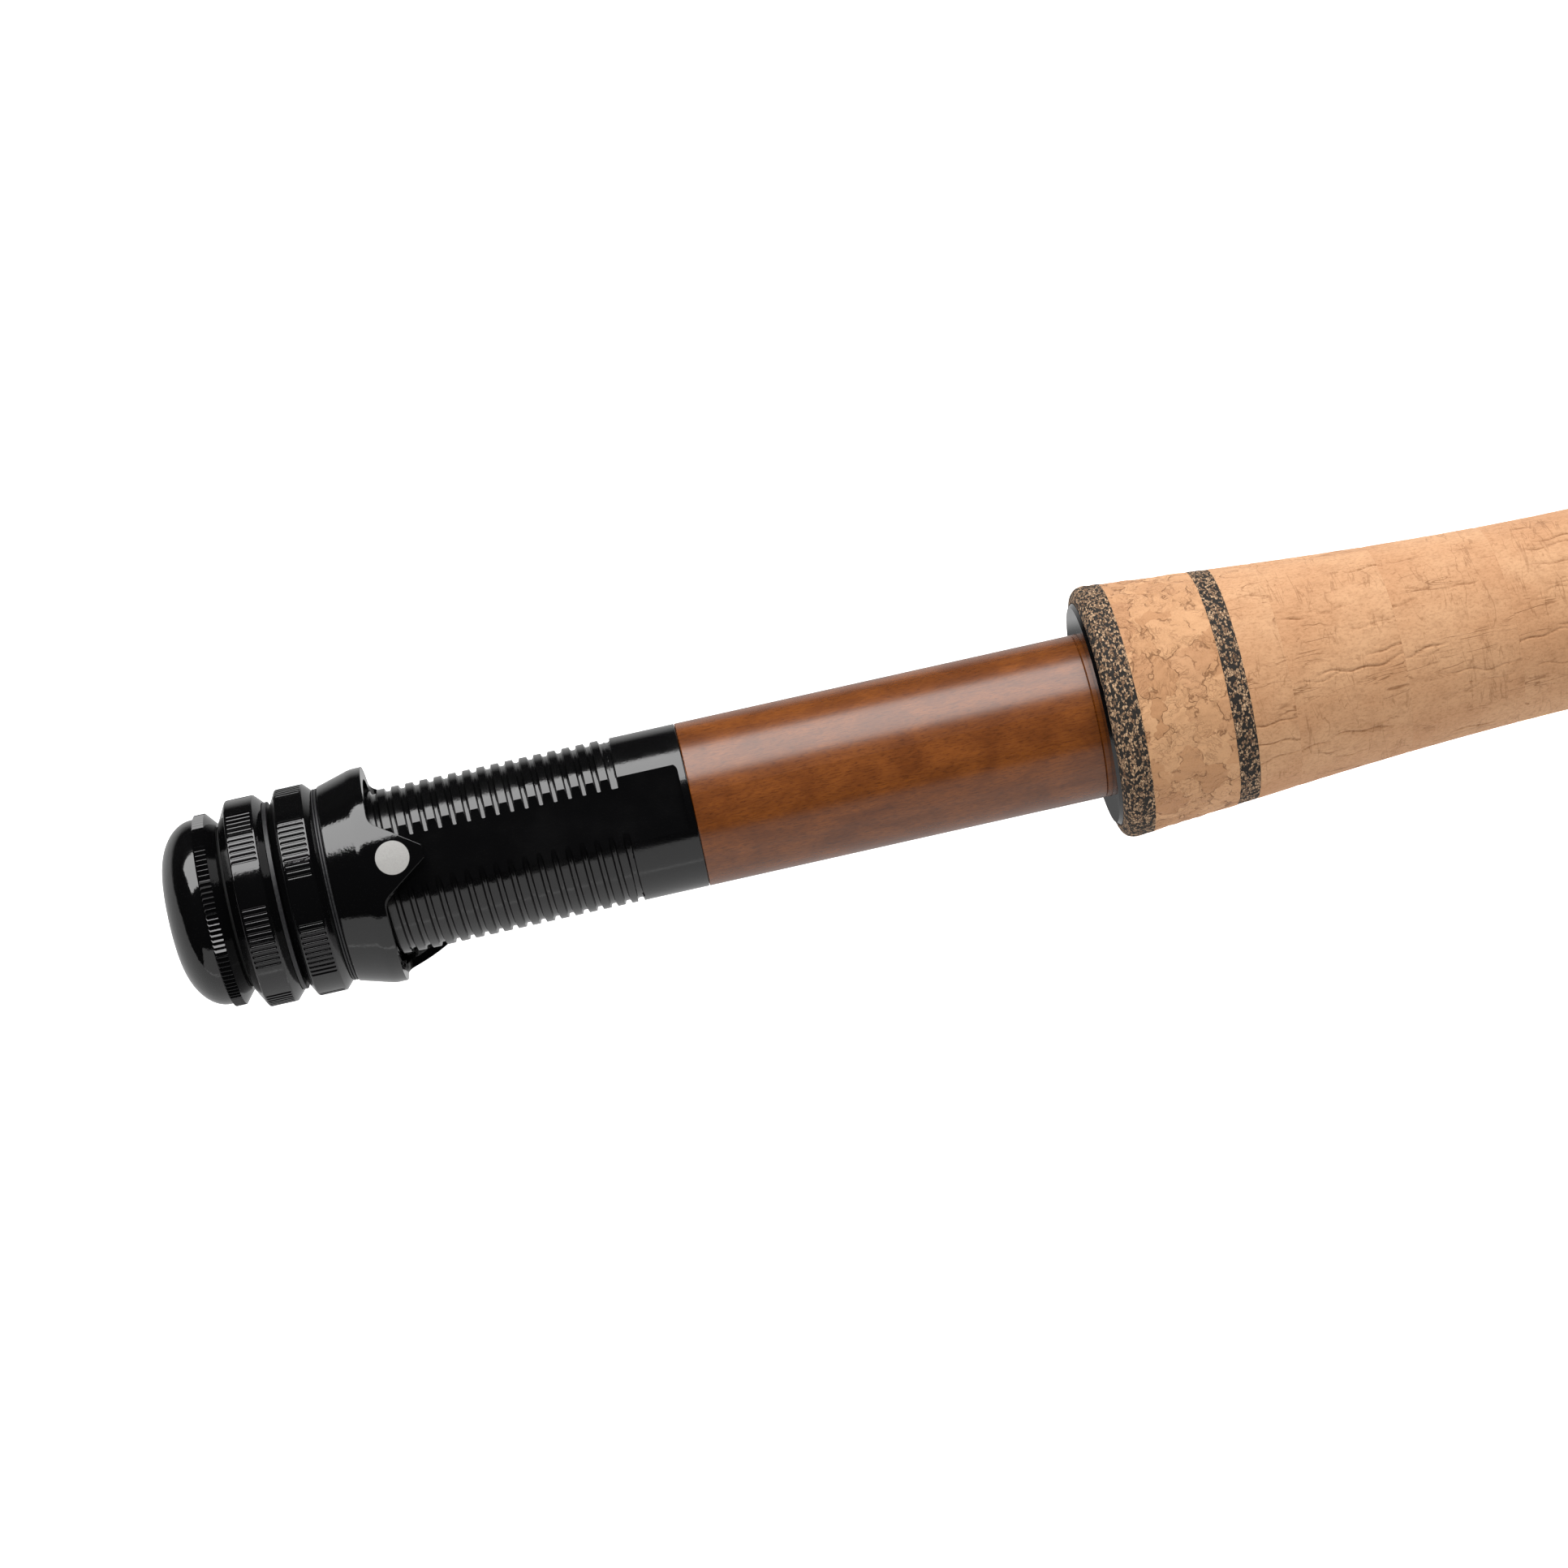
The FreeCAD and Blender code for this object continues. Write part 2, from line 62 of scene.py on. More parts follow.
def put(tree, kind, inputs=None, **settings):
    """Adds a shader node: settings are its own options, inputs are values or sockets to link from."""
    made = tree.nodes.new(kind)
    for name, value in settings.items():
        setattr(made, name, value)
    for name, value in (inputs or {}).items():
        if isinstance(value, bpy.types.NodeSocket):
            tree.links.new(value, made.inputs[name])
        else:
            made.inputs[name].default_value = value
    return made


def calc(tree, operation, *values):
    """One Math node on up to three values or sockets."""
    return put(tree, "ShaderNodeMath", dict(enumerate(values)), operation=operation).outputs[0]


def place(tree, size, stretch=(1, 1, 1)):
    """Object coordinates counted in features of the given size in metres, drawn out by stretch."""
    here = put(tree, "ShaderNodeTexCoord").outputs["Object"]
    scale = [1 / (size * s) for s in stretch]
    return put(tree, "ShaderNodeMapping", {"Vector": here, "Scale": scale}, vector_type="POINT").outputs[0]


def noise(tree, where, detail=3.0, rough=0.55, warp=0.0):
    inputs = {"Vector": where, "Scale": 1.0, "Detail": detail, "Roughness": rough, "Distortion": warp}
    return put(tree, "ShaderNodeTexNoise", inputs).outputs["Fac"]


def fade(tree, value, low, high, to_low=0.0, to_high=1.0):
    """A smooth step: to_low below low, to_high above high."""
    inputs = {"Value": value, "From Min": low, "From Max": high, "To Min": to_low, "To Max": to_high}
    return put(tree, "ShaderNodeMapRange", inputs, interpolation_type="SMOOTHSTEP").outputs[0]


def blend_colour(tree, share, first, second, mode="MIX"):
    made = put(tree, "ShaderNodeMix", data_type="RGBA", blend_type=mode)
    for name, value in (("Factor", share), ("A", first), ("B", second)):
        socket = [s for s in made.inputs if s.name == name and s.enabled][0]
        if isinstance(value, bpy.types.NodeSocket):
            tree.links.new(value, socket)
        else:
            socket.default_value = value if name == "Factor" else (*value, 1)
    return [s for s in made.outputs if s.enabled][0]


def bump(tree, height, depth, strength=1.0):
    return put(tree, "ShaderNodeBump", {"Height": height, "Distance": depth, "Strength": strength}).outputs[0]


def finish_of(name, **constants):
    """A material with a plain Principled shader, its constants set on the sockets."""
    material = bpy.data.materials.new(name)
    material.use_nodes = True
    shader = material.node_tree.nodes["Principled BSDF"]
    for socket, value in constants.items():
        shader.inputs[socket.replace("_", " ")].default_value = value
    return material, material.node_tree, shader.inputs


def wear(material, *names):
    """Gives CAD nodes this material in all their slots."""
    for name in names:
        for slot in nodes[name].material_slots:
            slot.material = material


def carbon_finish(name, dark, light, gloss):
    material, tree, shader = finish_of(name, IOR=1.5, Coat_Weight=0.6, Coat_Roughness=0.06)
    cloth = noise(tree, place(tree, 0.0006, (6, 1, 1)), 4, 0.6, 0.4)
    mottle = noise(tree, place(tree, 0.006), 2)
    shade = calc(tree, "MULTIPLY", fade(tree, cloth, 0.35, 0.7), fade(tree, mottle, 0.3, 0.7, 0.4, 1))
    tree.links.new(blend_colour(tree, shade, dark, light), shader["Base Color"])
    tree.links.new(fade(tree, mottle, 0.3, 0.7, gloss, gloss * 1.6), shader["Roughness"])
    tree.links.new(bump(tree, cloth, 0.000012), shader["Normal"])
    return material


wear(carbon_finish("varnished_carbon", (0.010, 0.007, 0.006), (0.045, 0.026, 0.018), 0.14), "blank")
wear(carbon_finish("ground_carbon", (0.012, 0.012, 0.013), (0.04, 0.04, 0.042), 0.38), "ferrule_spigot")


# ---- Arbors and cap spigot ----
# Bushings of hard foam that centre the blank in the seat, and the turned plug that the butt cap screws on.
# They are closed in by the seat; the plug shows when the cap is off.

def speckled(name, dark, light, size, roughness, metallic=0.0):
    material, tree, shader = finish_of(name, Metallic=metallic)
    grain = noise(tree, place(tree, size), 4, 0.7)
    tree.links.new(blend_colour(tree, fade(tree, grain, 0.3, 0.7), dark, light), shader["Base Color"])
    tree.links.new(fade(tree, grain, 0.3, 0.7, roughness, roughness * 1.3), shader["Roughness"])
    tree.links.new(bump(tree, grain, size * 0.05), shader["Normal"])
    return material


wear(speckled("arbor_foam", (0.03, 0.03, 0.03), (0.09, 0.09, 0.085), 0.0007, 0.8),
     "rear_arbor", "front_arbor")
wear(speckled("turned_aluminium", (0.6, 0.6, 0.62), (0.75, 0.75, 0.77), 0.0004, 0.25, 1.0), "cap_spigot")


# ---- Reel seat metal ----
# Barrel, rings, hoods, cap and winding check are turned aluminium, bead-smoothed and dyed a glossy black
# in the anodising bath. The surface has a very fine orange peel, and handling dulls it a little in places.

def peel_group():
    """Height and roughness of a dyed anodised skin: orange peel, and faint cloudy handling marks."""
    group = bpy.data.node_groups.new("Anodised Skin", "ShaderNodeTree")
    group.interface.new_socket("Gloss", in_out="INPUT", socket_type="NodeSocketFloat")
    group.interface.new_socket("Roughness", in_out="OUTPUT", socket_type="NodeSocketFloat")
    group.interface.new_socket("Height", in_out="OUTPUT", socket_type="NodeSocketFloat")
    entry = group.nodes.new("NodeGroupInput")
    leave = group.nodes.new("NodeGroupOutput")
    peel = noise(group, place(group, 0.00028), 2, 0.5)
    cloud = noise(group, place(group, 0.005), 3)
    dull = fade(group, cloud, 0.35, 0.75, 0.9, 1.7)
    group.links.new(calc(group, "MULTIPLY", entry.outputs["Gloss"], dull), leave.inputs["Roughness"])
    group.links.new(peel, leave.inputs["Height"])
    return group


anodised_skin = peel_group()


dyed_black = (0.002, 0.002, 0.0022)
polish = 0.07


def anodised(name, gloss=polish, worn_edge=0.0):
    """Dyed metal; worn_edge is the radius to which handling has rounded its sharp edges."""
    material, tree, shader = finish_of(name, Base_Color=(*dyed_black, 1), IOR=1.75)
    skin = put(tree, "ShaderNodeGroup", node_tree=anodised_skin)
    skin.inputs["Gloss"].default_value = gloss
    tree.links.new(skin.outputs["Roughness"], shader["Roughness"])
    peel = put(tree, "ShaderNodeBump", {"Height": skin.outputs["Height"], "Distance": 0.000006})
    if worn_edge:
        rounded = put(tree, "ShaderNodeBevel", {"Radius": worn_edge}, samples=4)
        tree.links.new(rounded.outputs[0], peel.inputs["Normal"])
    tree.links.new(peel.outputs[0], shader["Normal"])
    return material, tree, shader


black_metal = anodised("black_anodised")[0]
wear(black_metal, "rear_lock_ring", "front_lock_ring", "butt_cap", "fixed_hood", "winding_check")
wear(anodised("black_anodised_barrel", gloss=0.11)[0], "threaded_barrel")
wear(speckled("black_nylon", (0.012, 0.012, 0.013), (0.022, 0.022, 0.023), 0.0003, 0.35),
     "rear_lock_washer", "hood_washer")
wear(speckled("seal_rubber", (0.01, 0.01, 0.01), (0.02, 0.02, 0.02), 0.0003, 0.7), "cap_washer")


# ---- Sliding hood ----
# The same black aluminium, with a plain round spot on the tongue that a laser has etched through the dye
# to the bare silver metal below.

mark_x = 0.0255
mark_radius = 0.00185
tongue_z = 0.0115
hood_metal, tree, shader = anodised("black_anodised_marked", worn_edge=0.00014)
here = put(tree, "ShaderNodeTexCoord").outputs["Object"]
axes = put(tree, "ShaderNodeSeparateXYZ", {"Vector": here}).outputs
squares = [calc(tree, "POWER", side, 2.0) for side in (calc(tree, "SUBTRACT", axes["X"], mark_x), axes["Y"])]
away = calc(tree, "SQRT", calc(tree, "ADD", *squares))
inside = fade(tree, away, mark_radius - 0.00006, mark_radius + 0.00002, 1.0, 0.0)
etched = calc(tree, "MULTIPLY", inside, calc(tree, "GREATER_THAN", axes["Z"], tongue_z))
grit = noise(tree, place(tree, 0.00012), 2)
silver = blend_colour(tree, grit, (0.235, 0.23, 0.22), (0.36, 0.352, 0.337))
tree.links.new(blend_colour(tree, etched, dyed_black, silver), shader["Base Color"])
tree.links.new(fade(tree, etched, 0.0, 1.0, polish, 0.55), shader["Roughness"])
wear(hood_metal, "sliding_hood")


# ---- Wood insert ----
# A sleeve turned from a pale, close-grained hardwood, stained red-brown and finished in satin varnish.
# Fine fibres run along it, and softer clouds of figure cross them.

material, tree, shader = finish_of("stained_wood", Specular_IOR_Level=0.0, Coat_Weight=1.0,
                                   Coat_Roughness=0.27, Coat_IOR=1.7)
fibre = noise(tree, place(tree, 0.00013, (6, 1, 1)), 3, 0.6, 0.3)
streak = noise(tree, place(tree, 0.0009, (12, 1, 1)), 4, 0.6, 0.5)
figure = noise(tree, place(tree, 0.0040, (1.3, 1.1, 1.1)), 3, 0.55, 0.8)
body = blend_colour(tree, fade(tree, figure, 0.3, 0.7), (0.132, 0.034, 0.0035), (0.2, 0.055, 0.0055))
body = blend_colour(tree, fade(tree, streak, 0.35, 0.75, 0, 0.45), body, (0.083, 0.02, 0.0025))
body = blend_colour(tree, fade(tree, fibre, 0.42, 0.72, 0, 0.62), body, (0.052, 0.013, 0.002))
tree.links.new(body, shader["Base Color"])
tree.links.new(fade(tree, fibre, 0.3, 0.7, 0.42, 0.55), shader["Roughness"])
tree.links.new(bump(tree, fibre, 0.00001, 0.6), shader["Normal"])
wear(material, "wood_insert")


# ---- Cork grip ----
# Rings are punched from cork bark, glued end to end on the blank and turned to shape. The bark's breathing
# pores run along the grip as pitted brown cracks, and its yearly layers cross them as faint wavy lines.

first_ring_end, ring_length = 0.1235, 0.0127


def outline_of(node, bore):
    """Stations x along a turned CAD node, and the largest radius of its points at each; stations where only
    its bore has points are left out."""
    mesh = nodes[node].data
    flat = np.empty(3 * len(mesh.vertices), dtype=np.float32)
    mesh.vertices.foreach_get("co", flat)
    x, y, z = flat.reshape(-1, 3).astype(float).T
    stations, place_of = np.unique(np.round(x, 6), return_inverse=True)
    radius = np.zeros(len(stations))
    np.maximum.at(radius, place_of, np.hypot(y, z))
    clear_of_bore = 0.0001
    skin = radius > bore + clear_of_bore
    return stations[skin], radius[skin]


def soft_noise(rng, shape, reach):
    """Smooth random field that wraps round: white noise times a Gaussian in the frequency domain, scaled to a
    spread of 1. The blur along each axis is given by reach, in cells."""
    spectrum = np.fft.fft2(rng.standard_normal(shape))
    for axis, cells in enumerate(reach):
        wave = np.fft.fftfreq(shape[axis]) * 2 * math.pi * cells
        spectrum *= np.exp(-0.5 * np.expand_dims(wave, 1 - axis) ** 2)
    field = np.fft.ifft2(spectrum).real
    return field / field.std()


def ring_piece(name, node, rows, count, bore, carve, material):
    """A closed ring about the X axis. On a grid of x and angle the skin is the CAD outline radius less a
    carved depth. The grid goes on down one end, back along the bore, given as (x, radius), and up the
    other."""
    stations, radii = outline_of(node, max(r for _, r in bore))
    x = np.linspace(stations[0], stations[-1], rows)
    radius = np.interp(x, stations, radii)
    turn = np.arange(count) * 2 * math.pi / count
    depth, pit = carve(x, turn, radius)
    bore_x, bore_r = np.array(bore).T
    all_x = np.concatenate((x, bore_x))[:, None] * np.ones(count)
    all_r = np.concatenate((radius[:, None] - depth, bore_r[:, None] * np.ones(count)))
    points = np.stack((all_x, all_r * np.cos(turn), all_r * np.sin(turn)), axis=-1)
    total = len(points)
    corner = np.arange(total * count).reshape(total, count)
    ahead, beside = np.roll(corner, -1, axis=0), np.roll(corner, -1, axis=1)
    faces = np.stack((corner, beside, np.roll(ahead, -1, axis=1), ahead), axis=-1).reshape(-1, 4)
    mesh = bpy.data.meshes.new(name)
    mesh.from_pydata(points.reshape(-1, 3), [], faces)
    mesh.shade_smooth()
    mesh.set_sharp_from_angle(angle=math.radians(55))
    mask = np.zeros((total, count), dtype=np.float32)
    mask[:rows] = pit
    mesh.attributes.new("pit", "FLOAT", "POINT").data.foreach_set("value", mask.ravel())
    mesh.materials.append(material)
    piece = bpy.data.objects.new(name, mesh)
    bpy.context.scene.collection.objects.link(piece)
    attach(piece, "rod")
    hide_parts(node)
    return piece


def pore_carver(rng, per_metre):
    """Depth and mask of the bark's pores. Each is a crack along x: a Gaussian across it that tapers to its
    ends, about a line that wanders by two sines. Some lie in a wider patch of crumbling grains. A few are
    long bands, with a crack down each side and a powdery filling, where the mask is negative."""
    patch_share, band_share = 0.3, 0.07
    crack_depth, patch_depth, crumb_depth, glue_depth = 0.00016, 0.00005, 0.000006, 0.00004

    def carve(x, turn, radius):
        shape = (len(x), len(turn))
        crumb = soft_noise(rng, shape, (0.7, 1.2))
        depth, mask = np.zeros(shape), np.zeros(shape)
        for _ in range(rng.poisson(per_metre * (x[-1] - x[0]))):
            middle, angle = rng.uniform(x[0], x[-1]), rng.uniform(0, 2 * math.pi)
            length, width = rng.uniform(0.0012, 0.0058), rng.uniform(0.00007, 0.00015)
            waves, strength = rng.uniform(0, 2 * math.pi, 2), rng.uniform(0.45, 1.0)
            drift = (x - middle) * rng.normal(0, 0.05) + 0.00016 * np.sin(x / 0.0006 + waves[0])
            drift += 0.0003 * np.sin(x / 0.0017 + waves[1])
            bend = (turn - angle + math.pi) % (2 * math.pi) - math.pi
            across = radius[:, None] * bend - drift[:, None]
            kind, half_band, patch = rng.uniform(), rng.uniform(0.00035, 0.00075), 0
            if kind > 1 - band_share:
                length *= 2.5
            along = np.clip(1 - ((x - middle) / length) ** 2, 0, 1)[:, None] ** 0.6
            if kind > 1 - band_share:
                across = np.abs(across) - half_band * along
                powder = (along > 0) * np.clip(-across / width, 0, 1) * np.clip(0.6 + 0.4 * crumb, 0, 1)
                mask = np.where(mask > 0, mask, np.minimum(mask, -powder))
            crack = along * np.exp(-(across / width) ** 2) * strength
            if kind < patch_share:
                patch = 0.55 * along * np.exp(-(across / half_band) ** 2) * (crumb > 0.35)
            mark = np.maximum(crack, patch)
            mask = np.where(mark > 0.15, np.maximum(mask, mark), mask)
            depth = np.maximum(depth, crack_depth * crack + patch_depth * patch)
        glue_line = np.zeros(shape)
        glue_line[[0, -1]] = glue_depth
        return depth + glue_line + crumb_depth * (crumb - crumb.min()), mask
    return carve


def cork_finish(name, pale, deep, pore):
    """Bark from deep to pale, with pore colour in its cracks and lines. Each ring has its own place in the
    noises, moved by a random vector for the ring's number."""
    material, tree, shader = finish_of(name, IOR=1.4, Specular_IOR_Level=0.25)
    here = put(tree, "ShaderNodeTexCoord").outputs["Object"]
    along = put(tree, "ShaderNodeSeparateXYZ", {"Vector": here}).outputs["X"]
    past_first = calc(tree, "SUBTRACT", along, first_ring_end)
    number = calc(tree, "FLOOR", calc(tree, "DIVIDE", past_first, ring_length))
    shift = put(tree, "ShaderNodeTexWhiteNoise", {"W": number}, noise_dimensions="1D").outputs["Color"]
    moved = put(tree, "ShaderNodeVectorMath", {0: here, 1: shift}, operation="ADD").outputs[0]

    def spot(size, stretch=(1, 1, 1)):
        scale = [1 / (size * s) for s in stretch]
        return put(tree, "ShaderNodeMapping", {"Vector": moved, "Scale": scale}).outputs[0]

    def lines(size, stretch, narrow, wide, warp):
        """Thin lines where a stretched noise passes its middle value."""
        value = noise(tree, spot(size, stretch), 3, 0.55, warp)
        return fade(tree, calc(tree, "ABSOLUTE", calc(tree, "SUBTRACT", value, 0.5)), narrow, wide, 1, 0)

    tone = noise(tree, spot(0.007, (1.4, 1, 1)), 3)
    cloud = noise(tree, spot(0.0011, (1.3, 1, 1)), 3, 0.6)
    speck = noise(tree, spot(0.00025, (1.6, 1, 1)), 3, 0.65)
    year = calc(tree, "MULTIPLY", lines(0.0034, (0.55, 3.2, 3.2), 0.002, 0.014, 0.5),
                fade(tree, noise(tree, spot(0.004), 2), 0.42, 0.6))
    vein = calc(tree, "MULTIPLY", lines(0.0024, (5.5, 1, 1), 0.002, 0.013, 0.5),
                fade(tree, noise(tree, spot(0.0042, (2.4, 1, 1)), 2), 0.5, 0.62))
    freckle = calc(tree, "MULTIPLY", fade(tree, noise(tree, spot(0.0007, (1.8, 1, 1)), 2), 0.68, 0.76),
                   fade(tree, speck, 0.35, 0.6))
    pit = put(tree, "ShaderNodeAttribute", attribute_name="pit").outputs["Fac"]
    pitted = calc(tree, "MULTIPLY", fade(tree, pit, 0, 1), fade(tree, speck, 0.3, 0.62, 0.35, 1))
    powder = calc(tree, "MULTIPLY", fade(tree, pit, -0.8, -0.1, 0.75, 0),
                  fade(tree, speck, 0.3, 0.6, 0.5, 1))
    body = blend_colour(tree, fade(tree, tone, 0.3, 0.72), deep, pale)
    body = blend_colour(tree, fade(tree, cloud, 0.42, 0.78, 0, 0.22), body, pore)
    body = blend_colour(tree, fade(tree, speck, 0.42, 0.75, 0, 0.36), body, pore)
    body = blend_colour(tree, calc(tree, "MULTIPLY", year, 0.4), body, pore)
    body = blend_colour(tree, calc(tree, "MULTIPLY", vein, 0.65), body, pore)
    body = blend_colour(tree, calc(tree, "MULTIPLY", freckle, 0.5), body, pore)
    body = blend_colour(tree, powder, body, (0.62, 0.40, 0.17))
    body = blend_colour(tree, calc(tree, "MULTIPLY", pitted, 0.85), body, pore)
    tree.links.new(body, shader["Base Color"])
    tree.links.new(fade(tree, speck, 0.3, 0.7, 0.62, 0.8), shader["Roughness"])
    relief = calc(tree, "SUBTRACT", calc(tree, "MULTIPLY", speck, -0.9), calc(tree, "ADD", vein, freckle))
    tree.links.new(bump(tree, relief, 0.00005, 0.7), shader["Normal"])
    return material


natural_cork = cork_finish("natural_cork", pale=(0.54, 0.31, 0.168), deep=(0.475, 0.253, 0.13),
                           pore=(0.19, 0.082, 0.033))
row_step, blank_bore = 0.00035, 0.0055
for ring_number in range(1, 15):
    node = f"cork_ring_{ring_number:02d}"
    ends = [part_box(node)[side].x for side in (1, 0)]
    rows = max(8, round((ends[0] - ends[1]) / row_step))
    ring_piece(f"cork_{ring_number:02d}", node, rows, 840, [(end, blank_bore) for end in ends],
               pore_carver(np.random.default_rng(40 + ring_number), 2000), natural_cork)


# ---- Trim and composite rings ----
# The composite ring is coarse cork chips pressed in resin; the two dark rings are fine cork granules
# bound in black rubber. All three are turned with the grip, so their grains stand very slightly proud.

def chip_carver(rng, depth, reach):
    """Depth of a turned, grainy skin: the sum of a broad and a fine soft noise, cut off at 2.5 spreads and
    measured down from its highest point. It has no pores, so the mask is empty."""
    def carve(x, turn, radius):
        shape = (len(x), len(turn))
        broad = soft_noise(rng, shape, (3 * reach, 3 * reach))
        fine = soft_noise(rng, shape, (reach, reach))
        height = np.clip(broad + fine, -2.5, 2.5)
        return depth * (2.5 - height) / 5, np.zeros(shape)
    return carve


def chip_finish():
    material, tree, shader = finish_of("composite_cork", IOR=1.4, Specular_IOR_Level=0.25)

    def bent_by(size, amount, vector):
        """The vector moved by a centred noise of the given size, times amount."""
        swirl = put(tree, "ShaderNodeTexNoise", {"Vector": place(tree, size), "Scale": 1.0, "Detail": 2.0})
        centred = put(tree, "ShaderNodeVectorMath", {0: swirl.outputs["Color"], 1: (0.5, 0.5, 0.5)},
                      operation="SUBTRACT").outputs[0]
        shift = put(tree, "ShaderNodeVectorMath", {0: centred, "Scale": amount}, operation="SCALE").outputs[0]
        return put(tree, "ShaderNodeVectorMath", {0: vector, 1: shift}, operation="ADD").outputs[0]

    flake_place = bent_by(0.0007, 0.35, bent_by(0.0022, 1.5, place(tree, 0.0034, (0.75, 1, 1))))
    cells = put(tree, "ShaderNodeTexVoronoi", {"Vector": flake_place, "Scale": 1.0}, feature="F1")
    seams = put(tree, "ShaderNodeTexVoronoi", {"Vector": flake_place, "Scale": 1.0},
                feature="DISTANCE_TO_EDGE").outputs[0]
    pick = put(tree, "ShaderNodeSeparateColor", {"Color": cells.outputs["Color"]}).outputs
    layer_place = bent_by(0.0011, 1.5, place(tree, 0.0006))
    turned = put(tree, "ShaderNodeVectorRotate", {"Vector": layer_place, "Axis": (0.3, 0.5, 0.8),
                 "Angle": calc(tree, "MULTIPLY", pick[0], 6.0)}, rotation_type="AXIS_ANGLE").outputs[0]
    drawn = put(tree, "ShaderNodeMapping", {"Vector": turned, "Scale": (1, 0.22, 1)}).outputs[0]
    layer = noise(tree, drawn, 3, 0.6, 0.6)
    wrinkle = fade(tree, calc(tree, "ABSOLUTE", calc(tree, "SUBTRACT", layer, 0.5)), 0.004, 0.05, 1, 0)
    folds = calc(tree, "MULTIPLY", wrinkle, fade(tree, noise(tree, place(tree, 0.0026), 2), 0.36, 0.56))
    crease = calc(tree, "MULTIPLY", fade(tree, seams, 0.01, 0.05, 1, 0),
                  fade(tree, noise(tree, place(tree, 0.0013), 2), 0.44, 0.58))
    speck = noise(tree, place(tree, 0.0002), 3, 0.65)
    body = blend_colour(tree, pick[1], (0.43, 0.225, 0.111), (0.55, 0.312, 0.164))
    body = blend_colour(tree, fade(tree, pick[2], 0.78, 0.86, 0, 0.3), body, (0.34, 0.16, 0.08))
    body = blend_colour(tree, fade(tree, layer, 0.5, 0.78, 0, 0.25), body, (0.32, 0.15, 0.065))
    body = blend_colour(tree, calc(tree, "MULTIPLY", folds, 0.4), body, (0.2, 0.085, 0.035))
    body = blend_colour(tree, fade(tree, speck, 0.48, 0.8, 0, 0.3), body, (0.2, 0.088, 0.036))
    body = blend_colour(tree, calc(tree, "MULTIPLY", crease, 0.62), body, (0.14, 0.06, 0.025))
    tree.links.new(body, shader["Base Color"])
    tree.links.new(fade(tree, speck, 0.3, 0.7, 0.62, 0.8), shader["Roughness"])
    relief = calc(tree, "SUBTRACT", calc(tree, "MULTIPLY", folds, -0.5), crease)
    tree.links.new(bump(tree, calc(tree, "ADD", relief, calc(tree, "MULTIPLY", speck, 0.3)), 0.00006, 0.8),
                   shader["Normal"])
    return material


def granule_finish():
    material, tree, shader = finish_of("rubber_cork", IOR=1.45, Specular_IOR_Level=0.12)
    swirl = put(tree, "ShaderNodeTexNoise", {"Vector": place(tree, 0.0004), "Scale": 1.0, "Detail": 3.0})
    bent = blend_colour(tree, 1.1, place(tree, 0.00027, (0.8, 1.3, 1.3)), swirl.outputs["Color"], "ADD")
    cells = put(tree, "ShaderNodeTexVoronoi", {"Vector": bent, "Scale": 1.0}, feature="F1").outputs["Color"]
    seams = put(tree, "ShaderNodeTexVoronoi", {"Vector": bent, "Scale": 1.0},
                feature="DISTANCE_TO_EDGE").outputs[0]
    pick = put(tree, "ShaderNodeSeparateColor", {"Color": cells}).outputs
    fine = noise(tree, place(tree, 0.00013), 3, 0.6)
    clump = noise(tree, place(tree, 0.0011), 2)
    granule = blend_colour(tree, pick[1], (0.15, 0.085, 0.05), (0.5, 0.33, 0.2))
    rubber = blend_colour(tree, fine, (0.009, 0.008, 0.008), (0.042, 0.037, 0.032))
    level = calc(tree, "ADD", pick[0], calc(tree, "MULTIPLY", clump, 0.5))
    shown = calc(tree, "MULTIPLY", fade(tree, level, 0.62, 0.70), fade(tree, seams, 0.03, 0.12))
    body = blend_colour(tree, shown, rubber, granule)
    body = blend_colour(tree, fade(tree, fine, 0.55, 0.8, 0, 0.35), body, (0.03, 0.025, 0.02))
    tree.links.new(body, shader["Base Color"])
    tree.links.new(fade(tree, fine, 0.3, 0.7, 0.5, 0.75), shader["Roughness"])
    tree.links.new(bump(tree, calc(tree, "ADD", shown, fine), 0.00004, 0.8), shader["Normal"])
    return material


sleeve_end, sleeve_bore = 0.11465, 0.01255
low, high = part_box("composite_ring")
ring_piece("composite_cork", "composite_ring", 56, 520,
           [(high.x, blank_bore), (sleeve_end, blank_bore), (sleeve_end, sleeve_bore), (low.x, sleeve_bore)],
           chip_carver(np.random.default_rng(71), 0.00012, 1.3), chip_finish())
granules = granule_finish()
for seed, node in enumerate(("rear_trim_ring", "front_trim_ring")):
    low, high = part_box(node)
    bore = sleeve_bore if high.x < sleeve_end else blank_bore
    ring_piece(node + "_grains", node, 26, 640, [(high.x, bore), (low.x, bore)],
               chip_carver(np.random.default_rng(80 + seed), 0.00008, 0.9), granules)


# ---- Wraps and fittings ----
# Wraps are silk thread wound side by side over the feet and sealed under clear varnish. The keeper and the
# guide frame are bent steel wire with a dark plating, and the guide's ring is a polished ceramic.

def thread_finish(name, dark, light):
    material, tree, shader = finish_of(name, Roughness=0.3, Coat_Weight=1.0, Coat_Roughness=0.04)
    here = put(tree, "ShaderNodeTexCoord").outputs["Object"]
    along = put(tree, "ShaderNodeSeparateXYZ", {"Vector": here}).outputs["X"]
    turn = calc(tree, "SINE", calc(tree, "MULTIPLY", along, 2 * math.pi / 0.00016))
    fuzz = noise(tree, place(tree, 0.0008), 3)
    # Each turn is painted light along its crest and dark in the groove beside the next, following the same
    # sine as its bump. This is painted shade and painted highlight; the fuzz adds random tone.
    painted_turn_shade = calc(tree, "MULTIPLY", fade(tree, turn, -1, 1), fade(tree, fuzz, 0.2, 0.8, 0.6, 1))
    tree.links.new(blend_colour(tree, painted_turn_shade, dark, light), shader["Base Color"])
    tree.links.new(bump(tree, turn, 0.00001, 0.5), shader["Normal"])
    return material


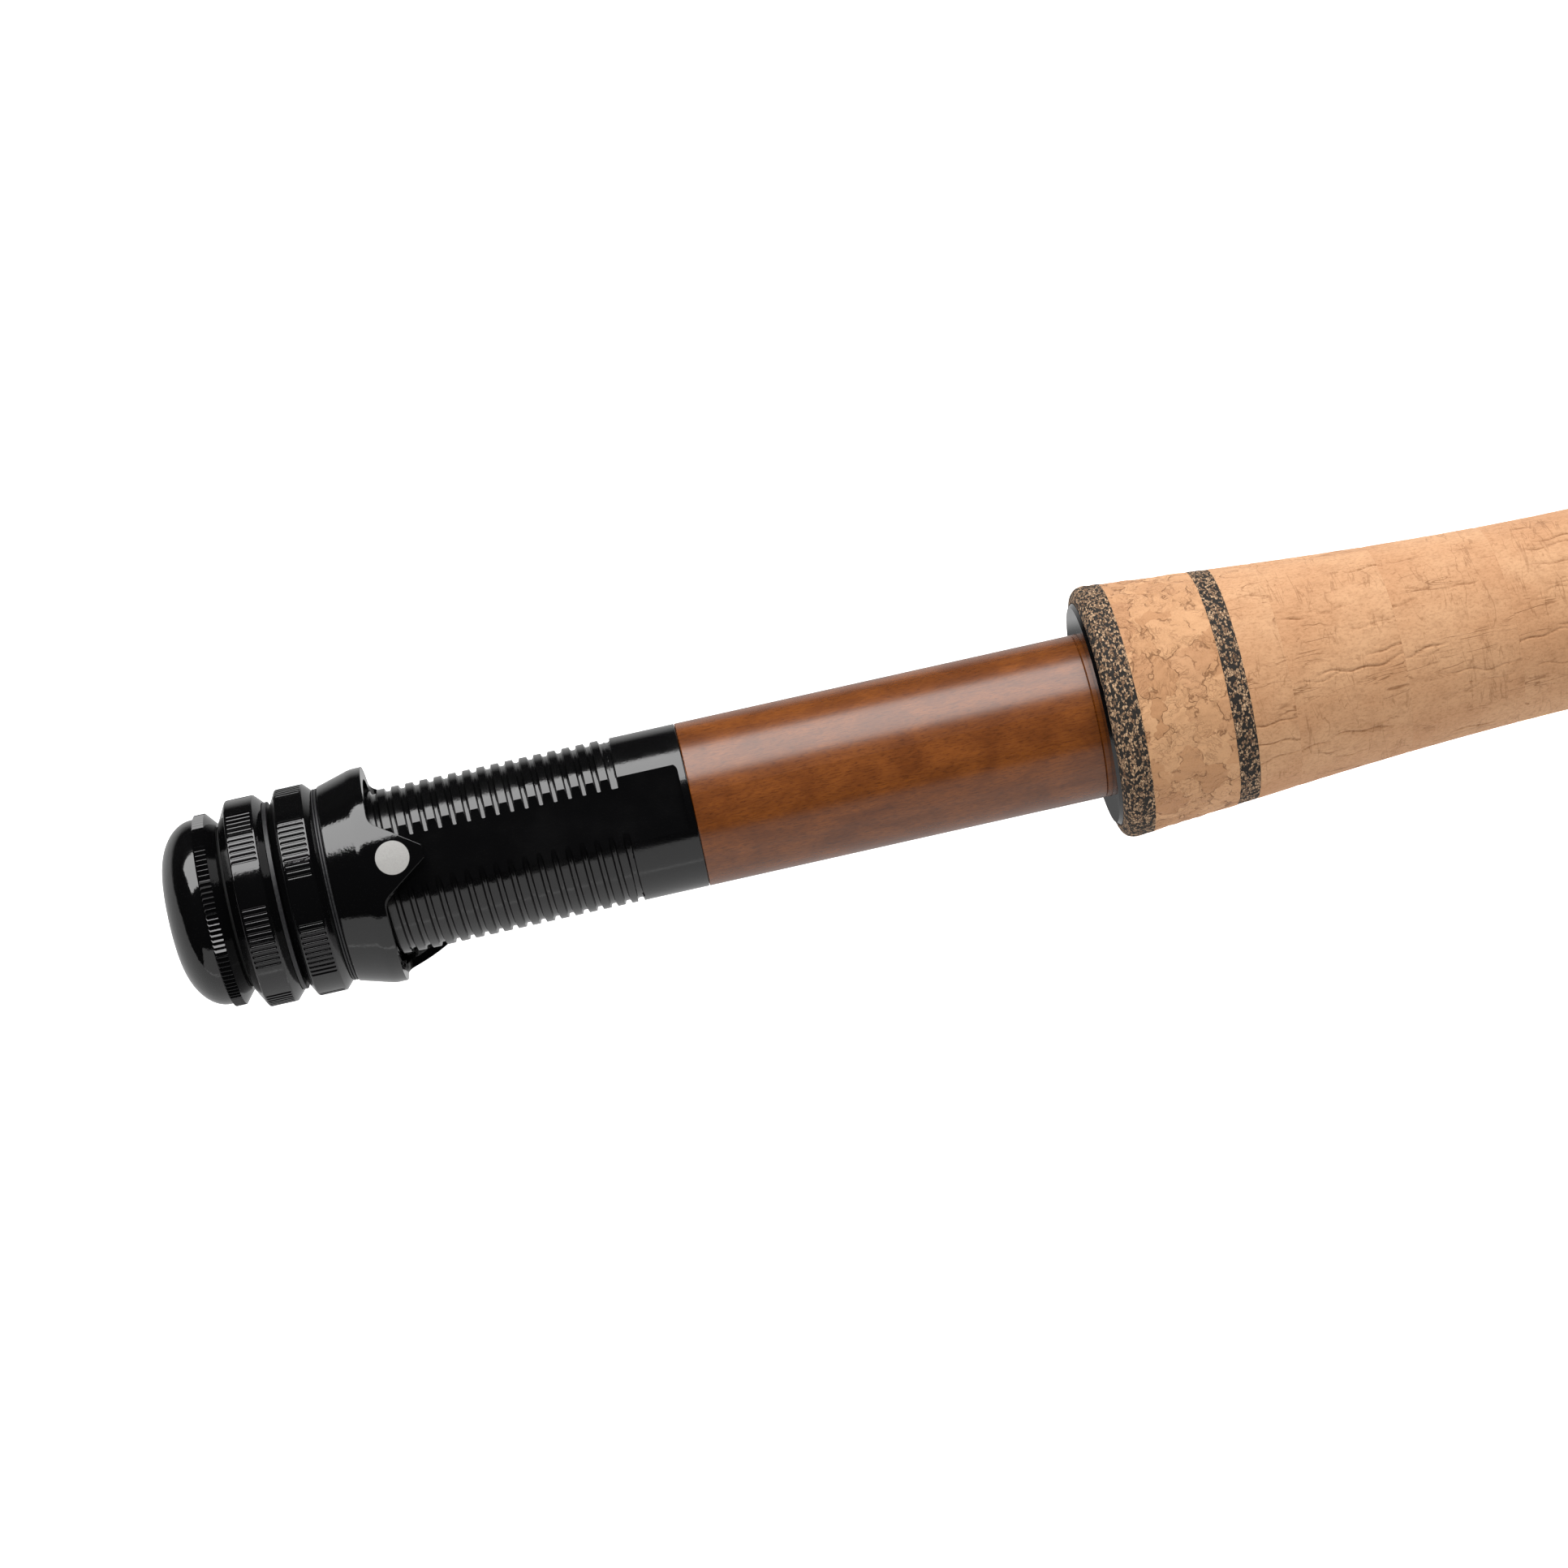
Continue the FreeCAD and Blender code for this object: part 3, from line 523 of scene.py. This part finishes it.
wear(thread_finish("brown_silk", (0.012, 0.005, 0.003), (0.06, 0.018, 0.009)), "ferrule_wrap",
     "keeper_wrap_rear", "keeper_wrap_front", "guide_wrap_rear", "guide_wrap_front")
wear(thread_finish("bronze_silk", (0.25, 0.13, 0.04), (0.6, 0.36, 0.14)), "ferrule_trim_band")
wear(speckled("dark_plated_steel", (0.16, 0.16, 0.17), (0.24, 0.24, 0.25), 0.0004, 0.16, 1.0),
     "hook_keeper", "guide_frame")
wear(speckled("polished_ceramic", (0.018, 0.018, 0.02), (0.03, 0.03, 0.033), 0.0005, 0.08), "guide_ring")


# ---- Studio ----
# A white table, one long soft box above the +Y side, a dim board on the -Y side and a broad front fill.
# Glossy rays see the table white only close under the rod, shaded under the seat's flange, and dark beyond
# the rod on the soft box's side.

table_gap, reach = 0.0005, 4.0
table_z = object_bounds()[0].z - table_gap
floor_mesh = bpy.data.meshes.new("table")
floor_mesh.from_pydata([(-reach, -reach, table_z), (reach, -reach, table_z), (reach, reach, table_z),
                        (-reach, reach, table_z)], [], [(0, 1, 2, 3)])
floor = bpy.data.objects.new("table", floor_mesh)
bpy.context.scene.collection.objects.link(floor)
material, tree, shader = finish_of("white_table", Roughness=0.9, Specular_IOR_Level=0.0)
rays = put(tree, "ShaderNodeLightPath").outputs
here = put(tree, "ShaderNodeTexCoord").outputs["Object"]
axes = put(tree, "ShaderNodeSeparateXYZ", {"Vector": here}).outputs
lit = fade(tree, axes["Y"], 0.028, 0.055, 0.55, 0.015)
under_flange = calc(tree, "MULTIPLY", fade(tree, axes["X"], 0.096, 0.1, 0, 0.75),
                    fade(tree, calc(tree, "ABSOLUTE", axes["Y"]), 0.0125, 0.0145, 1, 0))
mirrored = calc(tree, "MULTIPLY", lit, calc(tree, "SUBTRACT", 1.0, under_flange))
seen = calc(tree, "ADD", calc(tree, "MULTIPLY", rays["Is Camera Ray"], 0.9),
            calc(tree, "MULTIPLY", rays["Is Diffuse Ray"], 0.75))
glow = calc(tree, "ADD", seen, calc(tree, "MULTIPLY", rays["Is Glossy Ray"], mirrored))
tree.links.new(blend_colour(tree, rays["Is Glossy Ray"], (0.8, 0.8, 0.8), (0, 0, 0)), shader["Base Color"])
shader["Emission Color"].default_value = (1, 1, 1, 1)
tree.links.new(glow, shader["Emission Strength"])
material.cycles.emission_sampling = "NONE"
floor_mesh.materials.append(material)


def soft_box(name, roll, distance, width, height, radiance, turn=0.0, mirrored=True):
    """An area light facing the seat; roll is its angle from straight above, towards +Y when positive,
    and turn spins it about its own middle so that its -X end comes up."""
    lamp = bpy.data.lights.new(name, "AREA")
    lamp.shape, lamp.size, lamp.size_y = "RECTANGLE", width, height
    lamp.energy = math.pi * width * height * radiance
    holder = bpy.data.objects.new(name, lamp)
    bpy.context.scene.collection.objects.link(holder)
    out = Vector((0, math.sin(roll), math.cos(roll)))
    down = Vector((0, math.cos(roll), -math.sin(roll)))
    across = Vector((math.cos(turn), 0, 0)) + down * math.sin(turn)
    holder.matrix_world = Matrix((across, out.cross(across), out)).transposed().to_4x4()
    holder.matrix_world.translation = Vector((0.08, 0, 0)) + out * distance
    holder.visible_glossy = mirrored
    return holder


soft_box("key_box", math.radians(53), 0.62, 1.1, 0.526, 4.0, math.radians(13))
soft_box("dim_board", math.radians(-93), 0.7, 1.4, 1.2, 0.55)
soft_box("front_fill", math.radians(-7), 1.1, 1.5, 1.5, 1.9, mirrored=False)

world = bpy.data.worlds.new("studio")
bpy.context.scene.world = world
world.use_nodes = True
tree = world.node_tree
ray = put(tree, "ShaderNodeLightPath").outputs["Is Camera Ray"]
tree.links.new(fade(tree, ray, 0, 1, 0.006, 1.0), tree.nodes["Background"].inputs["Strength"])
tree.nodes["Background"].inputs["Color"].default_value = (1, 1, 1, 1)

aim = Vector((0.0684, 0, 0))
distance = 0.467
tilt, roll, slope = math.radians(-1.9), math.radians(7), math.radians(12.6)
toward = Vector((math.sin(tilt), -math.sin(roll) * math.cos(tilt), math.cos(roll) * math.cos(tilt)))
along = (Vector((1, 0, 0)) - toward * toward.x).normalized()
across = toward.cross(along)
right = along * math.cos(slope) - across * math.sin(slope)
up = along * math.sin(slope) + across * math.cos(slope)
lens = bpy.data.cameras.new("camera")
lens.lens, lens.sensor_width, lens.clip_start = 97.7, 36.0, 0.01
camera = bpy.data.objects.new("camera", lens)
bpy.context.scene.collection.objects.link(camera)
camera.matrix_world = Matrix((right, up, toward)).transposed().to_4x4()
camera.matrix_world.translation = aim + toward * distance
bpy.context.scene.camera = camera
bpy.context.scene.view_settings.view_transform = "Standard"
